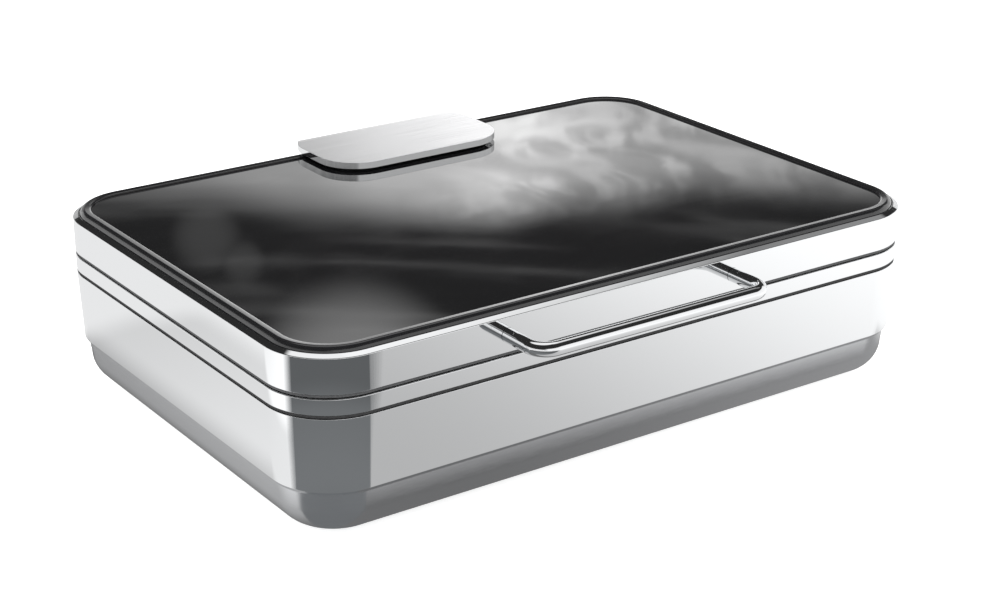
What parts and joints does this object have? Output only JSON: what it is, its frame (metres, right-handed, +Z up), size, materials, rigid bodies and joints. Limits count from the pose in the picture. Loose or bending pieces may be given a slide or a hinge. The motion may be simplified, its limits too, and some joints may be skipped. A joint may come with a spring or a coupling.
{
  "type": "electric buffet server",
  "caption": "Rectangular electric buffet server: polished steel base with heated water pan and lift-out food pan, and a hinged lid with a dark glass top and a bar handle.",
  "frame": {"origin": "middle of the bounding box, on the surface that the feet stand on", "axes": "+X to the user's right, +Y to the back where the hinge is, +Z up"},
  "size_m": [0.62, 0.5047, 0.169],
  "materials": {
    "mirror_steel": "mirror polished stainless steel",
    "pan_steel": "satin stainless sheet",
    "bracket_steel": "plain stainless",
    "screw_steel": "plated steel",
    "heater_sheath": "oxidised heater sheath",
    "aluminium_sheet": "mill finish",
    "mineral_wool": "pressed mineral wool",
    "tinted_glass": "smoke tinted, polished",
    "rim_black": "gloss black",
    "silicone_grey": "matt silicone",
    "rubber_black": "matt",
    "black_plastic": "satin moulded",
    "lamp_red": "clear red lens",
    "ceramic_cream": "unglazed steatite",
    "copper_bulb": "copper",
    "wire_brown": "silicone insulation",
    "wire_blue": "silicone insulation",
    "wire_green": "silicone insulation"
  },
  "bodies": {
    "base": {"base_shell": "mirror_steel", "base_collar": "mirror_steel", "water_pan": "pan_steel", "control_plate": "pan_steel", "hinge_base_bracket": "bracket_steel", "bottom_cover": "bracket_steel", "cover_screw_1": "screw_steel", "cover_screw_2": "screw_steel", "heater_element": "heater_sheath", "heater_clamp_left": "bracket_steel", "heater_clamp_right": "bracket_steel", "heater_stud_1": "screw_steel", "heater_stud_2": "screw_steel", "heater_stud_3": "screw_steel", "heater_stud_4": "screw_steel", "hinge_pin": "screw_steel", "heater_plate": "aluminium_sheet", "heat_shield": "aluminium_sheet", "insulation_pad": "mineral_wool", "collar_gasket": "rubber_black", "foot_1": "rubber_black", "foot_2": "rubber_black", "foot_3": "rubber_black", "foot_4": "rubber_black", "switch_housing": "black_plastic", "power_inlet": "black_plastic", "thermal_cutout": "black_plastic", "hinge_damper_left": "black_plastic", "hinge_damper_right": "black_plastic", "pilot_lamp": "lamp_red", "thermostat_body": "ceramic_cream", "terminal_block": "ceramic_cream", "thermostat_bulb": "copper_bulb", "supply_wire_live": "wire_brown", "switch_wire": "wire_brown", "thermostat_wire": "wire_brown", "heater_wire_live": "wire_brown", "supply_wire_neutral": "wire_blue", "heater_wire_neutral": "wire_blue", "supply_wire_earth": "wire_green"},
    "lid": {"lid_band": "mirror_steel", "lid_handle": "mirror_steel", "hinge_cover": "mirror_steel", "lid_inner_frame": "pan_steel", "hinge_lid_bracket": "bracket_steel", "handle_screw_left": "screw_steel", "handle_screw_right": "screw_steel", "hinge_cover_bolt_1": "screw_steel", "hinge_cover_bolt_2": "screw_steel", "hinge_clamp_plate": "bracket_steel", "lid_glass": "tinted_glass", "lid_rim": "rim_black", "glass_gasket": "silicone_grey", "lid_seal": "silicone_grey", "hinge_pad": "rubber_black"},
    "food_pan_body": {"food_pan": "pan_steel"},
    "knob": {"thermostat_knob": "black_plastic", "thermostat_shaft": "screw_steel"},
    "rocker": {"switch_rocker": "black_plastic"}
  },
  "joints": [
    {"name": "lid_hinge", "type": "hinge", "parent": "base", "child": "lid", "pos_m": [0.024, 0.2415, 0.1256], "axis": [-1, 0, 0], "range_deg": [0, 85]},
    {"name": "food_pan_lift", "type": "slide", "parent": "base", "child": "food_pan_body", "axis": [0, 0, 1], "range_m": [0, 0.02]},
    {"name": "thermostat_turn", "type": "hinge", "parent": "base", "child": "knob", "pos_m": [0.144, 0.23826, 0.07759], "axis": [0, -0.9992, 0.041], "range_deg": [0, 270]},
    {"name": "switch_rock", "type": "hinge", "parent": "base", "child": "rocker", "pos_m": [0.216, 0.23087, 0.07789], "axis": [-1, 0, 0], "range_deg": [0, 20]}
  ]
}
